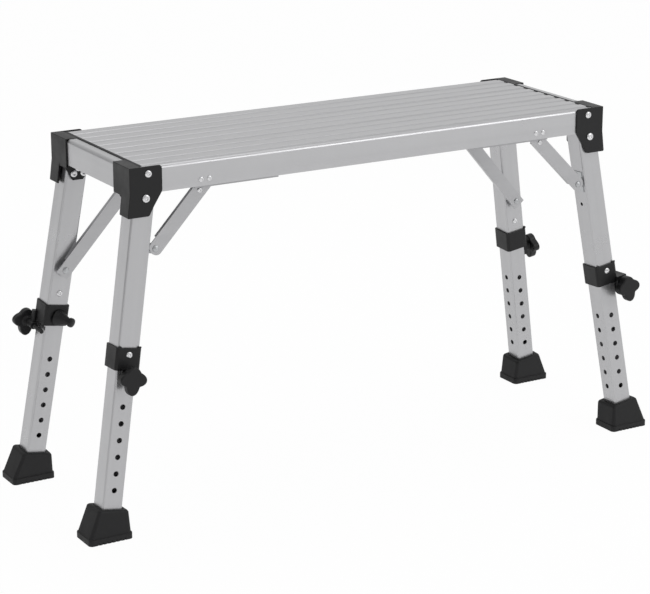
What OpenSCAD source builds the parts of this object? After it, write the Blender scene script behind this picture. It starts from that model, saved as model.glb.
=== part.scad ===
// Adjustable work platform: a ribbed aluminium deck on four telescopic legs that fold under it.
// Origin on the floor under the middle of the deck, +X along the deck, +Z up, millimetres.

/* [Deck] */
// Length of the deck over the corner brackets
deck_len = 1000; // [900:10:1300]
// Width of the deck over the corner brackets
deck_wid = 328; // [300:2:400]
// Height of the deck above the floor
deck_h = 656; // [560:2:690]
// Height of the rails
rail_h = 48; // [46:1:56]
// Wall of the rails
rail_wall = 2; // [1.5:0.1:2.2]
// Width of the top flange of an end rail
end_flange = 20; // [16:1:26]
// Radius of the rounded top edge of the rails
edge_r = 7; // [4:0.5:7.5]
// Gap between the deck and an end rail
end_gap = 3.5; // [2:0.5:6]
// Number of planks
plank_n = 3; // [3:1:3]
// Depth of a plank without its ribs
plank_t = 16.8; // [14:0.2:17]
// Wall of a plank
plank_wall = 1.6; // [1.2:0.1:2.5]
// Number of ribs on a plank
rib_n = 4; // [3:1:6]
// Height of a rib
rib_h = 1.2; // [0.8:0.1:2]
// Share of the pitch that a rib takes
rib_share = 0.62; // [0.4:0.02:0.8]
// Size of the cross bars along the deck
bar_w = 14; // [10:1:16]

/* [Corner brackets] */
// Length of a bracket along the side rail
bracket_len = 62; // [58:1:70]
// Width of a bracket across the end
bracket_wid = 60; // [58:1:70]
// Depth of a bracket below the deck
bracket_drop = 88; // [82:1:96]
// Wall of a bracket
bracket_wall = 3; // [2:0.2:4]
// Radius of a bracket's corners
bracket_r = 6; // [3:0.5:8]

/* [Legs] */
// Distance of a leg pivot from the end of the bracket
pivot_in = 30; // [28:1:36]
// Distance of a leg's middle from the side of the bracket
pivot_side = 27; // [27:0.5:30]
// Depth of a leg pivot below the deck
pivot_drop = 57; // [54:1:60]
// Outward lean of a leg along the deck, degrees
splay = 9.3; // [7:0.1:10.5]
// Outward lean of a leg across the deck, degrees
cant = 3; // [1:0.1:3]
// Side of the square outer tube
tube_out = 40; // [38:0.5:40]
// Wall of the outer tube
tube_out_wall = 1.7; // [1.4:0.1:2]
// Length of the outer tube
tube_out_len = 297; // [280:1:330]
// Outer tube above the pivot
tube_top = 12; // [11:0.5:13]
// Clearance of the inner tube in the outer tube, each side
slide_gap = 0.3; // [0.2:0.05:0.5]
// Wall of the inner tube
tube_in_wall = 2; // [1.4:0.1:2.5]
// Length of inner tube that stays inside the outer tube at rest
tube_overlap = 70; // [60:1:80]
// Corner radius of the outer tube
tube_r = 4; // [2:0.5:5]
// Diameter of the height holes
hole_d = 8; // [6:0.5:10]
// Pitch of the height holes
hole_pitch = 30; // [25:1:32]
// Number of height holes in each face
hole_n = 8; // [6:1:8]
// Distance of the lowest height hole from the floor end of the leg
hole_end = 90; // [80:1:100]
// Diameter of a leg pivot pin
pin_d = 10; // [8:0.5:12]

/* [Collars and knobs] */
// Height of a collar
collar_h = 40; // [36:1:46]
// Wall of a collar
collar_wall = 4; // [3:0.5:4]
// Length of outer tube inside the collar
collar_grip = 23; // [18:1:28]
// Diameter of a star knob over its lobes
knob_d = 58; // [44:1:62]
// Thickness of a star knob
knob_t = 15; // [10:1:18]
// Diameter of a clamp screw
screw_d = 8; // [6:1:10]
// Width of a clamp boss
boss_w = 26; // [22:1:28]
// Distance of a clamp screw below the top of its collar
screw_drop = 50; // [48:1:56]
// Distance of the side clamp screws from the middle of the leg
side_off = 28; // [26:1:32]

/* [Feet] */
// Length of a foot along the deck
foot_len = 84; // [70:1:90]
// Width of a foot across the deck
foot_wid = 61; // [54:1:61]
// Height of a foot along the leg
foot_h = 56; // [48:1:64]
// Height of the rim of a foot
foot_rim = 9; // [7:0.5:12]

/* [Braces] */
// Width of a brace
brace_w = 22; // [18:1:22]
// Sheet thickness of the braces and guides
brace_t = 2; // [1.5:0.1:2.2]
// Depth of the lips of a brace
brace_lip = 6; // [4:0.5:7]
// Diameter of the brace pins
brace_pin_d = 6; // [5:0.5:7]
// Distance of a front brace's lower pin down the leg
front_pin_s = 88; // [86:1:92]
// Distance of a front brace's lower pin inboard of the leg
front_pin_in = 34; // [34:0.5:36]
// Distance of a front brace's upper pin from the middle of the deck
front_top_x = 343; // [340:1:346]
// Depth of a front brace's upper pin below the deck
front_top_drop = 39; // [38:0.5:41]
// Distance of a rear brace's lower pin down the leg
rear_pin_s = 192.5; // [190:0.5:195]
// Distance of a rear brace's upper pin from the middle of the deck
rear_top_x = 325; // [323:1:328]
// Depth of a rear brace's upper pin below the deck
rear_top_drop = 48; // [47:0.5:50]

/* [Hidden] */
$fn = 48;
eps = 0.01;
fit = 0.05;
seat = 0.2;
half_len = deck_len/2;
half_wid = deck_wid/2;
skin_z = deck_h - rib_h;
rail_y = half_wid - bracket_wall;
rail_x = half_len - bracket_wall;
rail_in_y = rail_y - rail_wall;
rail_z0 = deck_h - rail_h;
plank_z0 = skin_z - plank_t;
ledge_z0 = plank_z0 - rail_wall;
flange_y = rail_y - edge_r - 0.5;
ledge_y = flange_y - 7;
deck_y = flange_y - 0.4;
deck_x = rail_x - end_flange - end_gap;
plank_gap = 0.6;
plank_w = (2*deck_y - (plank_n - 1)*plank_gap)/plank_n;
bar_z0 = rail_z0 + 16;
bar_x = half_len - pivot_in - 45;
bar_wall = 1.8;

pivot_x = half_len - pivot_in;
pivot_y = half_wid - pivot_side;
pivot_z = deck_h - pivot_drop;
bracket_z0 = deck_h - bracket_drop;
cheek_x0 = half_len - bracket_len;
inner_cheek_y1 = pivot_y - tube_out/2 - 2;
inner_cheek_y0 = inner_cheek_y1 - bracket_wall;

tube_in = tube_out - 2*tube_out_wall - 2*slide_gap;
leg_len = pivot_z/(cos(splay)*cos(cant));
tube_out_end = tube_out_len - tube_top;
foot_top_s = leg_len - foot_h;
tube_in_end = foot_top_s + foot_h - foot_rim - 4;
tube_in_top = tube_out_end - tube_overlap;
collar_top_s = tube_out_end - collar_grip;
screw_s = collar_top_s + screw_drop;
last_hole_s = leg_len - hole_end;
foot_x = pivot_x + leg_len*sin(splay);
foot_y = pivot_y + leg_len*cos(splay)*sin(cant);
lean_x = tan(splay)/cos(cant);

knob_gap = 0.5;
boss_out = 12;
boss_face = tube_out/2 + boss_out - 2;
stem_h = 8;
knob_face = boss_face + knob_gap + stem_h + knob_t;
lobe_d = knob_d*0.33;

brace_v1 = 16;
rear_brace_v1 = -tube_out/2 - 13;
lug_t = 3;
lug_v1 = brace_v1 - brace_t - 0.3;
head_h = 2.5;
guide_t = brace_t;
front_guide_x0 = 208;
front_guide_x1 = 374;
rear_guide_x0 = 9;
rear_guide_x1 = rear_top_x + 14;
front_rivet_x = [346, 362];
front_guide_z1 = ledge_z0 - 0.2;
front_guide_y1 = rail_in_y;
front_guide_y0 = front_guide_y1 - 24;
guide_z0 = rail_z0 - 3;
rear_guide_z0 = rail_z0 - 8;
rear_guide_y0 = pivot_y - 42;
rear_guide_y1 = rear_guide_y0 + 22;

ALU = [0.77, 0.77, 0.78];
BLACK = [0.13, 0.13, 0.14];
STEEL = [0.86, 0.86, 0.87];

// Rounded rectangle made of squares and circles
module rounded(w, h, r) {
    square([w - 2*r, h], center = true);
    square([w, h - 2*r], center = true);
    for (i = [-1, 1], j = [-1, 1])
        translate([i*(w/2 - r), j*(h/2 - r)]) circle(r = r);
}

// Cylinder along Y between two places
module cyl_y(d, y0, y1) {
    translate([0, y0, 0]) rotate([-90, 0, 0]) cylinder(d = d, h = y1 - y0);
}

// Low dome with its flat side on z = 0
module dome(d, h) {
    rotate_extrude()
        polygon(concat([[0, 0]], [for (a = [0:15:90]) [d/2*cos(a), h*sin(a)]]));
}

// Dome on the +Y side of a plane
module dome_y(d, h, y) {
    translate([0, y, 0]) rotate([-90, 0, 0]) dome(d, h);
}

// Puts a piece drawn for the right rear corner at any corner
module at_corner(sx, sy) {
    mirror([sx < 0 ? 1 : 0, 0, 0]) mirror([0, sy < 0 ? 1 : 0, 0]) children();
}

// Leg frame: origin at the pivot, +X outboard, +Y to the side, the foot along -Z
module in_leg() {
    translate([pivot_x, pivot_y, pivot_z]) rotate([cant, 0, 0]) rotate([0, -splay, 0]) children();
}

// Plane of the leg before its splay: X along the deck, Z up, Y along the pivot
module in_leg_plane() {
    translate([pivot_x, pivot_y, pivot_z]) rotate([cant, 0, 0]) children();
}

// Outline of a plank from its lower left corner, with the ribs on top
function plank_outline(pitch) = concat(
    [[0, 0], [plank_w, 0], [plank_w, plank_t]],
    [for (i = [rib_n - 1:-1:0], p = [
        [(1 + rib_share)/2, 0], [(1 + rib_share)/2 - rib_h/pitch, 1],
        [(1 - rib_share)/2 + rib_h/pitch, 1], [(1 - rib_share)/2, 0]
    ]) [(i + p[0])*pitch, plank_t + p[1]*rib_h]],
    [[0, plank_t]]
);

module deck_plank(index) {
    pitch = plank_w/rib_n;
    y_mid = (index - (plank_n - 1)/2)*(plank_w + plank_gap);
    color(ALU) translate([-deck_x, y_mid - plank_w/2, plank_z0]) rotate([90, 0, 90])
        linear_extrude(2*deck_x) difference() {
            polygon(plank_outline(pitch));
            for (i = [0:rib_n - 1])
                translate([i*pitch + plank_wall, plank_wall])
                    square([pitch - (i < rib_n - 1 ? plank_wall : 2*plank_wall), plank_t - 2*plank_wall]);
        }
}

// Rail section: web, rounded top edge and top flange
module rail_section(flange) {
    top = rail_h - rib_h;
    translate([-rail_wall, 0]) square([rail_wall, top - edge_r]);
    translate([-flange, top - rail_wall]) square([flange - edge_r, rail_wall]);
    translate([-edge_r, top - edge_r]) intersection() {
        difference() {
            circle(r = edge_r);
            circle(r = edge_r - rail_wall);
        }
        square(edge_r);
    }
}

module side_rail(sy) {
    color(ALU) at_corner(1, sy) difference() {
        translate([-rail_x + rail_wall, rail_y, rail_z0]) rotate([90, 0, 90])
            linear_extrude(2*(rail_x - rail_wall)) {
                rail_section(rail_y - flange_y);
                // Ledge under the planks
                translate([ledge_y - rail_y, ledge_z0 - rail_z0])
                    square([rail_y - ledge_y - rail_wall/2, rail_wall]);
            }
        for (sx = [-1, 1]) at_corner(sx, 1) {
            translate([rail_x - end_flange - seat, 0, plank_z0 - rail_wall - 1])
                cube([end_flange + 10, rail_in_y, rail_h]);
            translate([cheek_x0 - seat, 0, plank_z0 - rail_wall - 1])
                cube([bracket_len, rail_in_y, rail_wall + 1]);
            translate([rail_x - end_flange - seat, rail_in_y - 1, skin_z - edge_r - 1])
                cube([end_flange + 10, edge_r + 10, edge_r + 10]);
            translate([half_len - 35.5, 0, deck_h - 13]) cyl_y(5 + 2*fit, rail_in_y - 20, rail_y + 1);
            for (x = front_rivet_x)
                if (sy < 0) translate([x, 0, deck_h - 36]) cyl_y(5 + 2*fit, rail_in_y - 1, rail_y + 1);
        }
    }
}

module end_rail(sx) {
    color(ALU) at_corner(sx, 1) difference() {
        translate([rail_x, rail_y, rail_z0]) rotate([90, 0, 0])
            linear_extrude(2*rail_y)
                rail_section(end_flange);
        for (sy = [-1, 1]) at_corner(1, sy)
            translate([0, rail_in_y - seat, rail_z0 - 1])
                cube([rail_x - rail_wall + eps, rail_wall + 2, rail_h - edge_r - rib_h + 1 - eps]);
    }
}

module gap_seal(sx) {
    color(BLACK) at_corner(sx, 1)
        translate([deck_x, -deck_y, plank_z0]) cube([end_gap, 2*deck_y, plank_t - 3.5]);
}

module cross_bar(x) {
    color(ALU) translate([x, 0, 0]) {
        translate([0, ledge_y - 0.5, (bar_z0 + plank_z0)/2]) rotate([90, 0, 0])
            linear_extrude(2*ledge_y - 1) difference() {
                square([bar_w, plank_z0 - bar_z0], center = true);
                square([bar_w - 2*bar_wall, plank_z0 - bar_z0 - 2*bar_wall], center = true);
            }
        for (sy = [-1, 1]) at_corner(1, sy)
            translate([-bar_w/2, ledge_y - 0.5, bar_z0])
                cube([bar_w, rail_in_y - ledge_y + 0.5, ledge_z0 - bar_z0]);
    }
}

// Outline of a bracket's outer cheek in X and Z
module cheek_outline() {
    lean = (rail_z0 - bracket_z0)*lean_x*0.75;
    translate([cheek_x0 + bracket_r, rail_z0 + 5]) square([bracket_len - bracket_r, rail_h - 5]);
    translate([cheek_x0, rail_z0 + 5]) square([bracket_len, rail_h - 5 - bracket_r]);
    translate([cheek_x0 + bracket_r, deck_h - bracket_r]) circle(r = bracket_r);
    polygon([
        [cheek_x0, rail_z0 + 5 + eps], [cheek_x0 + 1, rail_z0 + 1], [cheek_x0 + 17, rail_z0 - 24],
        [cheek_x0 + 25, bracket_z0 + 1.5], [cheek_x0 + 28, bracket_z0],
        [half_len + lean - 2, bracket_z0], [half_len + lean, bracket_z0 + 2],
        [half_len, rail_z0 - 3], [half_len, rail_z0 + 5 + eps]
    ]);
}

module bracket_body() {
    under = rail_z0 - seat;
    lean = (rail_z0 - bracket_z0)*lean_x*0.75;
    // Outer cheek, thicker under the rail
    translate([0, half_wid, 0]) rotate([90, 0, 0])
        linear_extrude(bracket_wall) cheek_outline();
    intersection() {
        translate([0, half_wid, 0]) rotate([90, 0, 0])
            linear_extrude(bracket_wall + rail_wall) cheek_outline();
        translate([0, 0, bracket_z0 - 1]) cube([2*half_len, half_wid, under - bracket_z0 + 1]);
    }
    // End wall, with a leaning skirt round the leg
    translate([rail_x, half_wid - bracket_wid, under - 6])
        cube([bracket_wall, bracket_wid, deck_h - under + 6]);
    translate([0, half_wid, 0]) rotate([90, 0, 0]) linear_extrude(34)
        polygon([
            [rail_x, under], [half_len, under], [half_len + lean, bracket_z0 + 2],
            [half_len + lean - 1, bracket_z0], [half_len + lean - bracket_wall, bracket_z0]
        ]);
    translate([rail_x - rail_wall, inner_cheek_y0, under - 6])
        cube([rail_wall + bracket_wall, half_wid - inner_cheek_y0, 6]);
    // Top lip over the end rail and along the side rail
    translate([rail_x - end_flange, half_wid - bracket_wid, skin_z])
        cube([end_flange + bracket_wall, bracket_wid, rib_h]);
    translate([cheek_x0 + bracket_r, rail_y - 0.5, skin_z])
        cube([bracket_len - bracket_r, bracket_wall + 0.5, rib_h]);
    // Inner cheek, web and top plate
    translate([0, inner_cheek_y1, 0]) rotate([90, 0, 0]) linear_extrude(bracket_wall)
        polygon([
            [pivot_x - 16, under + 26], [pivot_x - 16, pivot_z - 14], [pivot_x - 8, pivot_z - 24],
            [pivot_x + 12, pivot_z - 24], [rail_x, under - 6], [rail_x, under],
            [rail_x - rail_wall - 0.5, under], [rail_x - rail_wall - 0.5, under + 26]
        ]);
    translate([cheek_x0, inner_cheek_y0, under + 26])
        cube([rail_x - rail_wall - 0.5 - cheek_x0, rail_in_y - seat - inner_cheek_y0, 3.5]);
    translate([cheek_x0, inner_cheek_y0, under + 9])
        cube([bracket_wall, rail_in_y - seat - inner_cheek_y0, 18]);
}

module corner_bracket(sx, sy) {
    color(BLACK) at_corner(sx, sy) difference() {
        bracket_body();
        in_leg_plane() cyl_y(pin_d + 2*fit, -32, 40);
        translate([half_len - 35.5, 0, deck_h - 13]) cyl_y(5 + 2*fit, rail_in_y - 4, half_wid + 1);
    }
}

module bracket_rivets() {
    color(STEEL) for (sx = [-1, 1], sy = [-1, 1]) at_corner(sx, sy)
        translate([half_len - 35.5, 0, deck_h - 13]) {
            cyl_y(5, rail_in_y - 2, half_wid + eps);
            cyl_y(8, rail_in_y - 2.5, rail_in_y);
            dome_y(15, 3, half_wid);
        }
}

module leg_pivot_pins() {
    far = (half_wid - pivot_y)/cos(cant) + 0.6;
    near = (pivot_y - inner_cheek_y0)/cos(cant) + 0.4;
    color(STEEL) for (sx = [-1, 1], sy = [-1, 1]) at_corner(sx, sy) in_leg_plane() {
        cyl_y(pin_d, -near - 1, far);
        dome_y(17, 3.2, far);
        cyl_y(15, -near - 2, -near);
    }
}

module outer_tube(sx, sy) {
    color(ALU) at_corner(sx, sy) in_leg() difference() {
        translate([0, 0, -tube_out_end]) linear_extrude(tube_out_len) difference() {
            rounded(tube_out, tube_out, tube_r);
            rounded(tube_out - 2*tube_out_wall, tube_out - 2*tube_out_wall, tube_r - tube_out_wall);
        }
        cyl_y(pin_d + 2*fit, -tube_out, tube_out);
        translate([-tube_out/2 + 4, 0, -135]) rotate([0, -90, 0]) cylinder(d = 6, h = 20);
    }
}

// A collar clamps straight on the tube, or by ears beside it when side is 1
module collar_body(side) {
    bottom = -collar_top_s - collar_h;
    boss_x = side*side_off;
    out = tube_out/2 + collar_wall;
    difference() {
        union() {
            translate([0, 0, bottom]) linear_extrude(collar_h)
                rounded(2*out, 2*out, tube_r + 2);
            for (i = [-1, 1])
                translate([i*(out - 5) - 3, out - 3, bottom + collar_h]) cube([6, 3, 2.5]);
            if (side == 0)
                translate([-boss_w/2, tube_in/2 + 0.5, -screw_s - boss_w/2])
                    cube([boss_w, boss_face - tube_in/2 - 0.5, screw_s - boss_w/2 + bottom + boss_w + 4]);
            if (side == 1) {
                translate([tube_in/2 + 0.5, -out, -screw_s - boss_w/2])
                    cube([side_off + 12 - tube_in/2 - 0.5, out + boss_face, screw_s + bottom + boss_w/2 + 10]);
                translate([boss_x, -out, -screw_s]) rotate([90, 0, 0])
                    cylinder(d1 = 20, d2 = 13, h = 12);
            }
        }
        translate([0, 0, -tube_out_end]) linear_extrude(collar_h + 10)
            rounded(tube_out, tube_out, tube_r);
        translate([0, 0, bottom - 10]) linear_extrude(collar_h + 10)
            rounded(tube_in + 1, tube_in + 1, tube_r - tube_out_wall);
        translate([boss_x, 0, -screw_s]) cyl_y(screw_d + 2*fit, side == 1 ? -out - 8 : 0, boss_face + 1);
        if (side == 1)
            translate([tube_out/2 + collar_wall, 7, -screw_s - boss_w/2 - 1])
                cube([40, 2, boss_w + 2]);
    }
}

// Turns the clamp of a collar to one of the leg's faces: 0 side, 1 outboard
module clamp_face(turn) {
    rotate([0, 0, -90*turn]) children();
}

function clamp_side(sx, sy) = (sx > 0 && sy < 0) || (sx < 0 && sy > 0) ? 1 : 0;
function clamp_turn(sx, sy) = sx > 0 && sy > 0 ? 1 : 0;

module collar(sx, sy) {
    color(BLACK) at_corner(sx, sy) in_leg()
        clamp_face(clamp_turn(sx, sy)) collar_body(clamp_side(sx, sy));
}

module star_knob(sx, sy) {
    side = clamp_side(sx, sy);
    tip = side == 1 ? -tube_out/2 - 6 : tube_in/2 + 0.4;
    y0 = boss_face + knob_gap;
    color(BLACK) at_corner(sx, sy) in_leg() clamp_face(clamp_turn(sx, sy))
        translate([side*side_off, 0, -screw_s]) {
            cyl_y(screw_d, tip, y0 + stem_h + 1);
            translate([0, y0, 0]) rotate([-90, 0, 0]) cylinder(d1 = 15, d2 = 22, h = stem_h);
            translate([0, y0 + stem_h, 0]) rotate([-90, 0, 0]) linear_extrude(knob_t - 2) {
                circle(d = knob_d*0.68);
                for (a = [45:90:315]) rotate(a)
                    translate([knob_d/2 - lobe_d/2, 0]) circle(d = lobe_d);
            }
            translate([0, y0 + stem_h + knob_t - 2, 0]) rotate([-90, 0, 0])
                cylinder(d1 = knob_d*0.6, d2 = knob_d*0.5, h = 2);
        }
}

module tube_rivets(sx, sy) {
    z = -collar_top_s - 12;
    out = tube_out/2 + collar_wall;
    color(STEEL) at_corner(sx, sy) in_leg() {
        translate([0, 0, z]) {
            dome_y(8, 1.6, out);
            if (sy > 0) mirror([0, 1, 0]) dome_y(8, 1.6, out);
        }
        if (sy > 0) translate([0, 0, -collar_top_s + 22]) mirror([0, 1, 0]) dome_y(8, 1.6, tube_out/2);
        if (sy < 0) for (s = [front_pin_s - 14, front_pin_s + 14])
            translate([-tube_out/2 - brace_t, -4, -s]) rotate([0, -90, 0]) dome(6, 1);
    }
}

// Lug on the inboard face of a front leg, with the pin of its brace
module brace_lug(sx) {
    color(STEEL) at_corner(sx, -1) in_leg() {
        translate([-tube_out/2 - brace_t, -10, -front_pin_s - 20]) cube([brace_t, lug_v1 + 10, 40]);
        translate([0, lug_v1, 0]) rotate([90, 0, 0]) linear_extrude(lug_t) {
            translate([-front_pin_in, -front_pin_s]) circle(r = 9);
            translate([-front_pin_in, -front_pin_s - 9])
                square([front_pin_in - tube_out/2 - brace_t + eps, 18]);
        }
        translate([-front_pin_in, 0, -front_pin_s]) {
            cyl_y(brace_pin_d, lug_v1 - lug_t - 2, brace_v1 + 0.4);
            cyl_y(10, lug_v1 - lug_t - 2, lug_v1 - lug_t + eps);
            dome_y(12, head_h, brace_v1 + 0.3);
        }
    }
}

// Stud on the inner side of a rear leg, with its spacer and head
module brace_stud(sx) {
    color(STEEL) at_corner(sx, 1) in_leg() translate([0, 0, -rear_pin_s]) {
        cyl_y(14, rear_brace_v1 + brace_t + 0.3, -tube_out/2);
        cyl_y(brace_pin_d, rear_brace_v1 - 0.4, rear_brace_v1 + brace_t + 1);
        mirror([0, 1, 0]) dome_y(12, head_h, -rear_brace_v1 + 0.3);
    }
}

// Plane of a brace: origin at its lower pin, +X along it to the upper pin
front_low = [front_pin_s*sin(splay) - front_pin_in*cos(splay), -front_pin_s*cos(splay) - front_pin_in*sin(splay)];
rear_low = [rear_pin_s*sin(splay), -rear_pin_s*cos(splay)];
front_up = [front_top_x - pivot_x, (pivot_drop - front_top_drop)/cos(cant)];
rear_up = [rear_top_x - pivot_x, (pivot_drop - rear_top_drop)/cos(cant)];

module in_brace(low, up) {
    run = up - low;
    in_leg_plane() translate([low[0], 0, low[1]]) rotate([0, -atan2(run[1], run[0]), 0]) children();
}

// Pressed channel with a rounded or square lower end and a rounded upper end
module brace_channel(length, web_v, lip_dir, square_end) {
    lip0 = lip_dir < 0 ? web_v - brace_t - brace_lip : web_v + brace_t;
    difference() {
        union() {
            translate([0, lip_dir < 0 ? web_v : web_v + brace_t, 0]) rotate([90, 0, 0]) linear_extrude(brace_t) {
                translate([0, -brace_w/2]) square([length, brace_w]);
                translate([length, 0]) circle(d = brace_w);
                if (square_end) translate([-12, -brace_w/2]) square([13, brace_w]);
                else circle(d = brace_w);
            }
            for (i = [-1, 1])
                translate([16, lip0, i*(brace_w - 1.6)/2 - 0.8]) cube([length - 30, brace_lip, 1.6]);
        }
        cyl_y(brace_pin_d + 2*fit, -60, 60);
        translate([length, 0, 0]) cyl_y(brace_pin_d + 2*fit, -60, 60);
    }
}

module brace(sx, sy) {
    color(ALU) at_corner(sx, sy)
        if (sy < 0) in_brace(front_low, front_up)
            brace_channel(norm(front_up - front_low), brace_v1, -1, false);
        else in_brace(rear_low, rear_up)
            brace_channel(norm(rear_up - rear_low), rear_brace_v1, 1, true);
}

// Pin in the upper end of a brace, with a slide pad either side of the web
module slider_pin(sx, sy) {
    low = sy < 0 ? front_low : rear_low;
    up = sy < 0 ? front_up : rear_up;
    v0 = sy < 0 ? brace_v1 - brace_t : rear_brace_v1;
    color(BLACK) at_corner(sx, sy) in_brace(low, up) translate([norm(up - low), 0, 0]) {
        cyl_y(brace_pin_d + 2*fit, v0, v0 + brace_t);
        cyl_y(12, v0 - 5, v0);
        cyl_y(12, v0 + brace_t, v0 + brace_t + 3);
    }
}

// Channel open below, in which the upper end of a brace slides
module guide(x0, x1, y0, y1, z0, z1) {
    translate([x0, y0, z1 - guide_t]) cube([x1 - x0, y1 - y0, guide_t]);
    for (y = [y0, y1 - guide_t])
        translate([x0, y, z0]) cube([x1 - x0, guide_t, z1 - z0]);
}

module brace_guide(sx, sy) {
    color(STEEL) at_corner(sx, sy) difference() {
        if (sy < 0)
            guide(front_guide_x0, front_guide_x1, front_guide_y0, front_guide_y1, guide_z0, front_guide_z1);
        else
            guide(rear_guide_x0, rear_guide_x1, rear_guide_y0, rear_guide_y1, rear_guide_z0, plank_z0);
        if (sy < 0) for (x = front_rivet_x)
            translate([x, 0, deck_h - 36]) cyl_y(5 + 2*fit, front_guide_y1 - 3, rail_y + 1);
    }
}

module guide_rivets() {
    color(STEEL) for (sx = [-1, 1]) {
        at_corner(sx, -1) for (x = front_rivet_x) translate([x, 0, deck_h - 36]) {
            cyl_y(5, rail_in_y - guide_t - 0.8, rail_y + eps);
            cyl_y(8, rail_in_y - guide_t - 1.2, rail_in_y - guide_t);
            dome_y(9, 1.8, rail_y);
        }
        at_corner(sx, 1) for (x = [rear_guide_x0 + 20, rear_guide_x1 - 20])
            translate([x, (rear_guide_y0 + rear_guide_y1)/2, plank_z0 - guide_t])
                rotate([180, 0, 0]) dome(9, 1.8);
    }
}

module inner_tube(sx, sy) {
    length = tube_in_end - tube_in_top;
    color(ALU) at_corner(sx, sy) in_leg() difference() {
        translate([0, 0, -tube_in_end]) linear_extrude(length) difference() {
            rounded(tube_in, tube_in, tube_r - tube_out_wall);
            rounded(tube_in - 2*tube_in_wall, tube_in - 2*tube_in_wall, 1);
        }
        for (i = [0:hole_n - 1]) translate([0, 0, -last_hole_s + i*hole_pitch]) {
            cyl_y(hole_d, -tube_in, tube_in);
            rotate([0, -90, 0]) cylinder(d = hole_d, h = tube_in);
        }
    }
}

module foot_body() {
    difference() {
        union() {
            translate([foot_x, foot_y, 0]) {
                linear_extrude(foot_rim*0.55) rounded(foot_len, foot_wid, 6);
                linear_extrude(foot_rim*0.7) rounded(foot_len - 2.4, foot_wid - 2.4, 5);
                translate([0, 0, foot_rim*0.7]) linear_extrude(foot_rim*0.3) rounded(foot_len, foot_wid, 6);
            }
            hull() {
                translate([foot_x, foot_y, foot_rim]) linear_extrude(0.5)
                    rounded(foot_len - 1, foot_wid - 1, 6, $fn = 32);
                in_leg() translate([0, 0, -foot_top_s - 1]) linear_extrude(1)
                    rounded(tube_in + 11, tube_in + 8, 5, $fn = 32);
            }
        }
        in_leg() translate([0, 0, -tube_in_end]) linear_extrude(foot_h)
            rounded(tube_in, tube_in, tube_r - tube_out_wall);
    }
}

module foot(sx, sy) {
    color(BLACK) at_corner(sx, sy) foot_body();
}

deck_plank(0);  // deck_plank_front
deck_plank(1);  // deck_plank_middle
deck_plank(2);  // deck_plank_rear
side_rail(-1);  // front_rail
side_rail(1);  // rear_rail
end_rail(-1);  // left_end_rail
end_rail(1);  // right_end_rail
gap_seal(-1);  // left_gap_seal
gap_seal(1);  // right_gap_seal
cross_bar(-bar_x);  // cross_bar_left
cross_bar(0);  // cross_bar_middle
cross_bar(bar_x);  // cross_bar_right
corner_bracket(-1, -1);  // corner_bracket_fl
corner_bracket(1, -1);  // corner_bracket_fr
corner_bracket(-1, 1);  // corner_bracket_bl
corner_bracket(1, 1);  // corner_bracket_br
bracket_rivets();
leg_pivot_pins();
guide_rivets();
brace_guide(-1, -1);  // brace_guide_fl
brace_guide(1, -1);  // brace_guide_fr
brace_guide(-1, 1);  // brace_guide_bl
brace_guide(1, 1);  // brace_guide_br
outer_tube(-1, -1);  // outer_tube_fl
outer_tube(1, -1);  // outer_tube_fr
outer_tube(-1, 1);  // outer_tube_bl
outer_tube(1, 1);  // outer_tube_br
collar(-1, -1);  // collar_fl
collar(1, -1);  // collar_fr
collar(-1, 1);  // collar_bl
collar(1, 1);  // collar_br
tube_rivets(-1, -1);  // tube_rivets_fl
tube_rivets(1, -1);  // tube_rivets_fr
tube_rivets(-1, 1);  // tube_rivets_bl
tube_rivets(1, 1);  // tube_rivets_br
brace_lug(-1);  // brace_lug_fl
brace_lug(1);  // brace_lug_fr
brace_stud(-1);  // brace_stud_bl
brace_stud(1);  // brace_stud_br
inner_tube(-1, -1);  // inner_tube_fl
inner_tube(1, -1);  // inner_tube_fr
inner_tube(-1, 1);  // inner_tube_bl
inner_tube(1, 1);  // inner_tube_br
foot(-1, -1);  // foot_fl
foot(1, -1);  // foot_fr
foot(-1, 1);  // foot_bl
foot(1, 1);  // foot_br
star_knob(-1, -1);  // star_knob_fl
star_knob(1, -1);  // star_knob_fr
star_knob(-1, 1);  // star_knob_bl
star_knob(1, 1);  // star_knob_br
brace(-1, -1);  // brace_fl
brace(1, -1);  // brace_fr
brace(-1, 1);  // brace_bl
brace(1, 1);  // brace_br
slider_pin(-1, -1);  // slider_pin_fl
slider_pin(1, -1);  // slider_pin_fr
slider_pin(-1, 1);  // slider_pin_bl
slider_pin(1, 1);  // slider_pin_br
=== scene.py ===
"""Adjustable work platform: ribbed deck, telescopic legs, mouldings, rivets, finishes and studio."""

import math

import bpy
from mathutils import Matrix, Vector


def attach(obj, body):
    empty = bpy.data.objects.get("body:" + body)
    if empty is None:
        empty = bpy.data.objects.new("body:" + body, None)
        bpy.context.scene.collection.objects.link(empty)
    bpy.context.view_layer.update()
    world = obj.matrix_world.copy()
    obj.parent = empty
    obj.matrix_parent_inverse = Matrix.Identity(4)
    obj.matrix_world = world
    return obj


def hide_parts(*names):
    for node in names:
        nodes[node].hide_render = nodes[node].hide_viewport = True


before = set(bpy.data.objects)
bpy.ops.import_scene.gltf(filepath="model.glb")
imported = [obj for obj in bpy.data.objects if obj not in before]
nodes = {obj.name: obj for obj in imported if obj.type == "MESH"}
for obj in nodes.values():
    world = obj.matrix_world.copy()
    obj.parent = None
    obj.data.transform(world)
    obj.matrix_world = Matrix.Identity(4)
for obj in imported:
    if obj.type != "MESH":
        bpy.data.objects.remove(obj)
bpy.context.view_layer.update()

# Sizes are real ones, in metres. A corner's signs mirror the rear right leg's drawing to its place
CORNERS = {"fl": (-1, -1), "fr": (1, -1), "bl": (-1, 1), "br": (1, 1)}
X, Y, Z = 0, 1, 2
HAIR = 0.0001
WELD_GAP = 0.00002
SPLAY = math.radians(9.3)
CANT = math.radians(3)
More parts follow.
